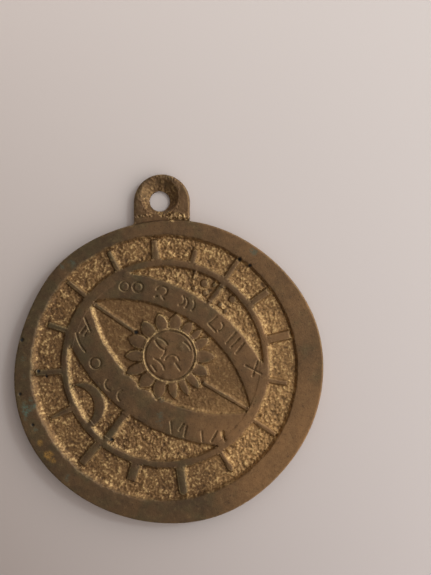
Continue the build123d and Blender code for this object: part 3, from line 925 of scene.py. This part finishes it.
class Graph:
    """Short ways to add and join the nodes of a material or a world."""

    def __init__(self, owner):
        owner.use_nodes = True
        self.tree = owner.node_tree

    def node(self, kind, inputs=(), **settings):
        made = self.tree.nodes.new(kind)
        for key, value in settings.items():
            setattr(made, key, value)
        for key, value in dict(inputs).items():
            self.put(made.inputs[key], value)
        return made

    def shade(self, shader, values):
        """Sets or joins the inputs of a shader."""
        for key, value in values.items():
            self.put(self.tree.nodes[shader].inputs[key], value)

    def put(self, socket, value):
        if isinstance(value, bpy.types.NodeSocket):
            self.tree.links.new(value, socket)
        else:
            socket.default_value = value

    def mark(self, name):
        return self.node("ShaderNodeAttribute", attribute_name=name).outputs["Fac"]

    def math(self, operation, first, second=0.5, third=0.5, clamp=False):
        made = self.node("ShaderNodeMath", {0: first, 1: second, 2: third}, operation=operation,
                         use_clamp=clamp)
        return made.outputs[0]

    def place(self, kind="Object"):
        return self.node("ShaderNodeTexCoord").outputs[kind]

    def noise(self, size, detail=2.0, roughness=0.5):
        """Noise from 0 to 1 whose bumps are about so many millimetres wide."""
        made = self.node("ShaderNodeTexNoise", {"Vector": self.place(), "Scale": 1 / (size * MM),
                                                "Detail": detail, "Roughness": roughness})
        return made.outputs["Fac"]

    def spread(self, value, low=0.0, high=1.0, to_low=0.0, to_high=1.0):
        """A value moved from one range to another, and held inside it."""
        made = self.node("ShaderNodeMapRange", {"Value": value, "From Min": low, "From Max": high,
                                                "To Min": to_low, "To Max": to_high})
        return made.outputs["Result"]

    def patchy(self, mark, value):
        """A mark that a patchy value breaks up."""
        return self.math("MULTIPLY", self.mark(mark), self.spread(value, *PATCHY[mark]))

    def bump(self, height, distance, strength):
        """Normal of small bumps whose height is in millimetres."""
        made = self.node("ShaderNodeBump", {"Height": height, "Distance": distance * MM,
                                            "Strength": strength})
        return made.outputs["Normal"]

    def mix(self, share, first, second):
        made = self.node("ShaderNodeMix", data_type="RGBA")
        self.put(made.inputs["Factor"], share)
        self.put(made.inputs["A"], first)
        self.put(made.inputs["B"], second)
        return made.outputs["Result"]


PATINA_COOL, PATINA_WARM = srgb(76, 58, 38), srgb(129, 95, 60)
PATINA_GREEN = srgb(82, 74, 47)
SAND_COOL, SAND_WARM = srgb(108, 79, 47), srgb(160, 122, 76)
SAND_LOW, SAND_HIGH = srgb(52, 37, 23), srgb(214, 178, 120)
BRIGHT_BRASS = srgb(214, 180, 122)
RECESS = srgb(44, 32, 22)
VERDIGRIS_COLOUR = srgb(68, 84, 68)
POLISHED_COLOUR = srgb(164, 122, 58)
DARK_PIT_COLOUR = srgb(14, 12, 10)
# How noise breaks up each mark: the noise's range, and the shares of the mark that show at its ends
PATCHY = {
    "edge": (0.4, 0.7, 0.0, 0.4), "wear_and_painted_highlight": (0.35, 0.65, 0.0, 0.35), "crumbs": (0.45, 0.62, 0.0, 0.7),
    "polished": (0.4, 0.6, 0.2, 0.9), "green": (0.4, 0.6, 0.1, 0.8), "dish": (0.5, 0.9, 0.1, 0.5),
}
METAL_CLEAN, METAL_DULL = 0.7, 0.1  # metallic share of clean brass, and of verdigris and the dark pits
BRASS_BUMP, BRASS_BUMP_SIZE = 0.09, 0.26
SAND_CONTRAST, EYE_LOSS = 0.9, 0.62  # contrast of the sand's grain, and how much less it is in the eye


def patina_colour(g, warmth_and_painted_light):
    """Brown patina of the smooth relief, greenish, darker or lighter in patches."""
    mottled = g.noise(0.9, 5.0, 0.7)
    greenish = g.math("SUBTRACT", g.noise(3.5, 3.0), g.math("MULTIPLY", warmth_and_painted_light, 0.25))
    colour = g.mix(g.spread(warmth_and_painted_light), PATINA_COOL, PATINA_WARM)
    colour = g.mix(g.spread(greenish, 0.42, 0.6, 0.0, 0.36), colour, PATINA_GREEN)
    colour = g.mix(g.spread(mottled, 0.5, 0.8, 0.0, 0.4), colour, RECESS)
    return g.mix(g.spread(mottled, 0.45, 0.2, 0.0, 0.12), colour, BRIGHT_BRASS)


def sand_colour(g, warmth_and_painted_light, grain):
    """Sandy ground, dark between its grains and bright on them, and less so in the eye."""
    contrast = g.math("MULTIPLY_ADD", g.mark("eye"), -EYE_LOSS, SAND_CONTRAST)
    dark = g.math("MULTIPLY", contrast, g.spread(grain, 0.62, 0.38, 0.0, 0.82))
    bright = g.math("MULTIPLY", contrast, g.spread(grain, 0.68, 0.9, 0.0, 0.8))
    colour = g.mix(g.spread(warmth_and_painted_light), SAND_COOL, SAND_WARM)
    return g.mix(bright, g.mix(dark, colour, SAND_LOW), SAND_HIGH)


def brass(name):
    """Old cast brass: brown patina on the smooth relief, lighter grains on the sandy ground."""
    material = bpy.data.materials.new(name)
    g = Graph(material)
    fine = g.noise(0.4, 3.0, 0.6)
    # Warmth, partly painted light: the brass is warmer and lighter to the right and in some patches
    warmth_and_painted_light = g.math("ADD", g.mark("warmth_and_painted_light"), g.spread(g.noise(2.5, 3.0), 0.3, 0.7, -0.12, 0.12))
    grain = g.math("ADD", g.math("MULTIPLY", g.mark("grain"), 0.6), g.math("MULTIPLY", fine, 0.7))
    sand = sand_colour(g, warmth_and_painted_light, grain)
    ground = g.math("ADD", g.mark("ground"), g.mark("eye"), clamp=True)
    colour = g.mix(ground, patina_colour(g, warmth_and_painted_light), sand)
    colour = g.mix(g.patchy("dish", grain), colour, sand)
    # Edge wear, together with the painted highlight on walls that face the light, lightened to bright
    # brass
    edge_wear_and_painted_highlight = g.math("MAXIMUM", g.patchy("edge", fine), g.patchy("wear_and_painted_highlight", fine))
    colour = g.mix(edge_wear_and_painted_highlight, colour, BRIGHT_BRASS)
    colour = g.mix(g.patchy("crumbs", fine), colour, BRIGHT_BRASS)
    colour = g.mix(g.patchy("polished", fine), colour, POLISHED_COLOUR)
    specks = g.spread(g.noise(0.3, 1.0), 0.64, 0.72, 0.0, 0.5)
    colour = g.mix(g.math("MAXIMUM", specks, g.mark("recess")), colour, RECESS)
    green = g.patchy("green", fine)
    colour = g.mix(green, colour, VERDIGRIS_COLOUR)
    colour = g.mix(g.mark("dark_pits"), colour, DARK_PIT_COLOUR)
    dull = g.math("MAXIMUM", green, g.mark("dark_pits"))
    rough = g.math("ADD", g.spread(fine, 0.3, 0.7, 0.42, 0.56), g.math("MULTIPLY", dull, 0.3))
    bump = g.bump(g.noise(BRASS_BUMP_SIZE, 3.0, 0.65), BRASS_BUMP, g.spread(g.mark("ground"), to_low=0.5))
    metallic = g.spread(dull, to_low=METAL_CLEAN, to_high=METAL_DULL)
    g.shade("Principled BSDF",
            {"Base Color": colour, "Metallic": metallic, "Roughness": rough, "Normal": bump})
    return material


# ======== The casting ========
def cast():
    """Works out the casting's surface, and makes one piece of it for each CAD node."""
    lines = cut_lines()
    ends, numbers = np.unique(np.round(lines.reshape(-1, 2), 5), axis=0, return_inverse=True)
    edges = np.unique(np.sort(numbers.reshape(-1, 2), axis=1), axis=0)
    edges = edges[edges[:, 0] != edges[:, 1]]
    flat = np.concatenate([ends, surface_points(lines)])
    flat, faces, _ = triangulate(flat, edges)
    owners = owner(flat[faces].mean(axis=1))
    levels, marks = surface(flat)
    corners = np.column_stack([flat, levels])
    marks = np.stack([marks[name] for name in MARKS], axis=1)
    finishes = {name: brass(name) for name in ("sandy_ground", "worn_relief", "lug")}
    for number, node in enumerate(relief + ["back_plate", "hanging_lug"]):
        mine = faces[owners == number]
        slot = {PLATE: "sandy_ground", LUG: "lug"}.get(number, "worn_relief")
        shell = build_shell(number, corners, marks, mine)
        piece = make_object(node, shell, finishes[slot], len(mine))
        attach(piece, "root")
        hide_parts(node)


cast()


# ======== Paper, light and camera ========
PAPER_LEFT, PAPER_RIGHT, PAPER_BOTTOM, PAPER_TOP = -33, 51, -40, 73
PAPER_SIZE, PAPER_LEVEL = 1200, -0.01
# Painted light: the paper's colour darkens from the upper right towards the lower left
PAPER_BOTTOM_COLOURS = srgb(158, 146, 139), srgb(201, 191, 186)  # left and right
PAPER_TOP_COLOURS = srgb(203, 192, 185), srgb(217, 208, 202)
PAPER_ROUGHNESS, PAPER_SPECULAR = 0.85, 0.2
PAPER_BUMP, PAPER_BUMP_SIZE = 0.02, 0.4
CAMERA_PLACE = (9.2, 16.4, 190.0)
VIEW_WIDTH = 84.3  # what the picture takes in, across, at the top of the rim
SENSOR = 36.0
SUN_STRENGTH, SUN_ANGLE = 0.48, 9
SUN_COLOUR = (0.82, 1.0, 1.1)
SKY_LIT, SKY_DARK = (3.03, 2.92, 2.9, 1.0), (0.17, 0.158, 0.15, 1.0)
SKY_FOCUS = 2.5  # how far the sky's light gathers on its lit side


def paper():
    """A sheet of paper with painted light: its colour is lighter towards the window."""
    material = bpy.data.materials.new("paper")
    g = Graph(material)
    place = g.node("ShaderNodeSeparateXYZ", {"Vector": g.place()})
    along = g.spread(place.outputs["X"], PAPER_LEFT * MM, PAPER_RIGHT * MM)
    up = g.spread(place.outputs["Y"], PAPER_BOTTOM * MM, PAPER_TOP * MM)
    colour = g.mix(up, g.mix(along, *PAPER_BOTTOM_COLOURS), g.mix(along, *PAPER_TOP_COLOURS))
    g.shade("Principled BSDF", {"Base Color": colour, "Roughness": PAPER_ROUGHNESS,
                                "Specular IOR Level": PAPER_SPECULAR,
                                "Normal": g.bump(g.noise(PAPER_BUMP_SIZE, 3.0), PAPER_BUMP, 0.3)})
    half, level = PAPER_SIZE / 2 * MM, PAPER_LEVEL * MM
    corners = [(x, y, level) for x, y in ((-half, -half), (half, -half), (half, half), (-half, half))]
    mesh = bpy.data.meshes.new("paper")
    mesh.from_pydata(corners, [], [(0, 1, 2, 3)])
    mesh.materials.append(material)
    add_object("paper", mesh)


def sky():
    """A window's broad light: bright from one side, and fading to dark on the other."""
    world = bpy.data.worlds.new("studio")
    bpy.context.scene.world = world
    g = Graph(world)
    across = g.node("ShaderNodeVectorMath", {0: g.place("Generated"), 1: (*FROM_LIGHT, 0)},
                    operation="DOT_PRODUCT")
    share = g.math("POWER", g.spread(across.outputs["Value"], -1.0), SKY_FOCUS)
    g.shade("Background", {"Color": g.mix(share, SKY_DARK, SKY_LIT)})


def sun():
    """A weak sun, which gives the medallion its shadow."""
    lamp = bpy.data.lights.new("sun", "SUN")
    lamp.energy = SUN_STRENGTH
    lamp.angle = math.radians(SUN_ANGLE)
    lamp.color = SUN_COLOUR
    turn = (math.radians(90 - SUN_ELEVATION), 0, math.radians(90 + SUN_BEARING))
    add_object("sun", lamp).rotation_euler = turn


def camera():
    """The photograph's view, straight down from a little to the upper right."""
    lens = bpy.data.cameras.new("camera")
    lens.sensor_fit = "HORIZONTAL"
    lens.sensor_width = SENSOR
    lens.lens = SENSOR * (CAMERA_PLACE[2] - high_corner("rim")[2]) / VIEW_WIDTH
    lens.clip_start, lens.clip_end = 0.001, 10
    bpy.context.scene.camera = add_object("camera", lens)
    bpy.context.scene.camera.location = [value * MM for value in CAMERA_PLACE]


paper()
sky()
sun()
camera()
bpy.context.scene.view_settings.view_transform = "Standard"
